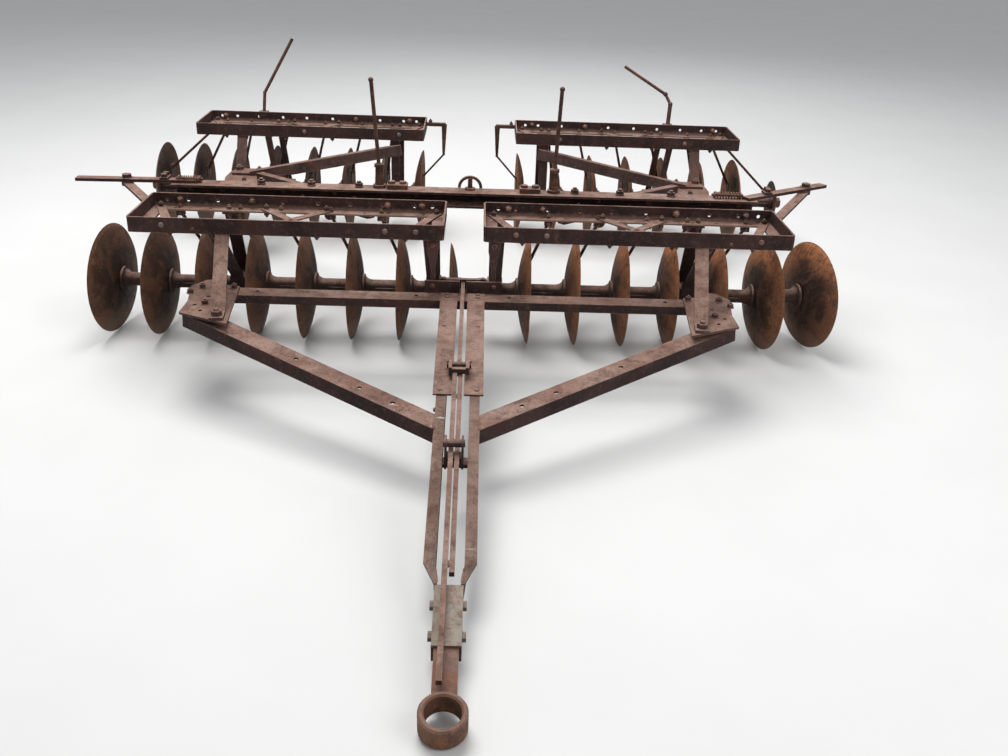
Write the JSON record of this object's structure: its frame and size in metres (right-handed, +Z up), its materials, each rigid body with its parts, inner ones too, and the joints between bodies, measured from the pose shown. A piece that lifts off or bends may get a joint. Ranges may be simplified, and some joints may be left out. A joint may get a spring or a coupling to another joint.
{
  "type": "disc harrow",
  "caption": "Towed tandem disc harrow with four angling gangs, open weight frames and a ring hitch tongue",
  "frame": {"origin": "on the ground, under the middle of the machine's outer box", "axes": "+X to the machine's left-hand gangs seen from behind, that is to the right seen from the hitch; +Y from the hitch back along the tongue; +Z up"},
  "size_m": [3.108, 3.6594, 0.919],
  "materials": {
    "old_paint": "matt, worn through to brown rust",
    "dusty_paint": "matt, dusty, rusted",
    "blade_steel": "rusted, orange in the dishes",
    "cast": "rough, rusted",
    "worn_iron": "rusted, worn at the edges"
  },
  "bodies": {
    "front_frame": {"hitch_ring": "worn_iron", "tongue_block": "dusty_paint", "tongue_rails": "old_paint", "tongue_plates": "dusty_paint", "front_braces": "old_paint", "cross_member": "old_paint", "front_gussets": "dusty_paint", "trip_latch": "cast"},
    "angling_slider": {"angling_bar": "old_paint"},
    "rear_frame": {"beam": "old_paint", "side_arms": "old_paint", "rear_braces": "old_paint", "rear_gussets": "dusty_paint", "beam_levers": "worn_iron", "beam_hook": "worn_iron"},
    "side_link_left": {"side_link_l": "old_paint"},
    "side_link_right": {"side_link_r": "old_paint"},
    "front_left_frame": {"weight_frame_fl": "old_paint", "pull_irons_fl": "dusty_paint", "hangers_fl": "old_paint", "scrapers_fl": "worn_iron"},
    "front_left_gang": {"blades_fl": "blade_steel", "spools_fl": "cast", "gang_bolt_fl": "worn_iron"},
    "front_right_frame": {"weight_frame_fr": "old_paint", "pull_irons_fr": "dusty_paint", "hangers_fr": "old_paint", "scrapers_fr": "worn_iron"},
    "front_right_gang": {"blades_fr": "blade_steel", "spools_fr": "cast", "gang_bolt_fr": "worn_iron"},
    "rear_left_frame": {"weight_frame_rl": "old_paint", "pull_irons_rl": "dusty_paint", "hangers_rl": "old_paint", "scrapers_rl": "worn_iron", "rear_lever_l": "worn_iron"},
    "rear_left_gang": {"blades_rl": "blade_steel", "spools_rl": "cast", "gang_bolt_rl": "worn_iron"},
    "rear_right_frame": {"weight_frame_rr": "old_paint", "pull_irons_rr": "dusty_paint", "hangers_rr": "old_paint", "scrapers_rr": "worn_iron", "rear_lever_r": "worn_iron"},
    "rear_right_gang": {"blades_rr": "blade_steel", "spools_rr": "cast", "gang_bolt_rr": "worn_iron"}
  },
  "joints": [
    {"name": "angle_slider", "type": "slide", "parent": "front_frame", "child": "angling_slider", "axis": [0, 0.9886, 0.1503], "range_m": [0, 0.17]},
    {"name": "front_left_angle", "type": "hinge", "parent": "front_frame", "child": "front_left_frame", "pos_m": [-0.775, -0.32875, 0.312], "axis": [0, 0, 1], "range_deg": [0, 15.05]},
    {"name": "front_right_angle", "type": "hinge", "parent": "front_frame", "child": "front_right_frame", "pos_m": [0.775, -0.32875, 0.312], "axis": [0, 0, -1], "range_deg": [0, 15.05]},
    {"name": "rear_left_angle", "type": "hinge", "parent": "rear_frame", "child": "rear_left_frame", "pos_m": [-1.052, 1.30725, 0.362], "axis": [0, 0, -1], "range_deg": [0, 15.05]},
    {"name": "rear_right_angle", "type": "hinge", "parent": "rear_frame", "child": "rear_right_frame", "pos_m": [1.052, 1.30725, 0.362], "axis": [0, 0, 1], "range_deg": [0, 15.05]},
    {"name": "rear_frame_slide", "type": "slide", "parent": "front_frame", "child": "rear_frame", "axis": [0, -1, 0], "range_m": [0, 0.04994]},
    {"name": "side_link_left_turn", "type": "hinge", "parent": "rear_frame", "child": "side_link_left", "pos_m": [-1.314, 0.56797, 0.5], "axis": [0, 0, -1], "range_deg": [0, 19.21]},
    {"name": "side_link_right_turn", "type": "hinge", "parent": "rear_frame", "child": "side_link_right", "pos_m": [1.385, 0.74422, 0.5], "axis": [0, 0, 1], "range_deg": [0, 13.25]},
    {"name": "front_left_gang_spin", "type": "hinge", "parent": "front_left_frame", "child": "front_left_gang", "pos_m": [-0.7, 0.27725, 0.203], "axis": [1, 0, 0], "continuous": true},
    {"name": "front_right_gang_spin", "type": "hinge", "parent": "front_right_frame", "child": "front_right_gang", "pos_m": [0.7, 0.27725, 0.203], "axis": [1, 0, 0], "continuous": true},
    {"name": "rear_left_gang_spin", "type": "hinge", "parent": "rear_left_frame", "child": "rear_left_gang", "pos_m": [-0.7, 1.62525, 0.203], "axis": [1, 0, 0], "continuous": true},
    {"name": "rear_right_gang_spin", "type": "hinge", "parent": "rear_right_frame", "child": "rear_right_gang", "pos_m": [0.7, 1.62525, 0.203], "axis": [1, 0, 0], "continuous": true}
  ],
  "couplings": [
    {"joint": "front_left_angle", "follows": "angle_slider", "rad_per_m": 1.54},
    {"joint": "front_right_angle", "follows": "angle_slider", "rad_per_m": 1.54},
    {"joint": "rear_left_angle", "follows": "angle_slider", "rad_per_m": 1.54},
    {"joint": "rear_right_angle", "follows": "angle_slider", "rad_per_m": 1.54},
    {"joint": "rear_frame_slide", "follows": "angle_slider", "ratio": 0.29257},
    {"joint": "side_link_left_turn", "follows": "angle_slider", "rad_per_m": 1.9624},
    {"joint": "side_link_right_turn", "follows": "angle_slider", "rad_per_m": 1.35}
  ]
}
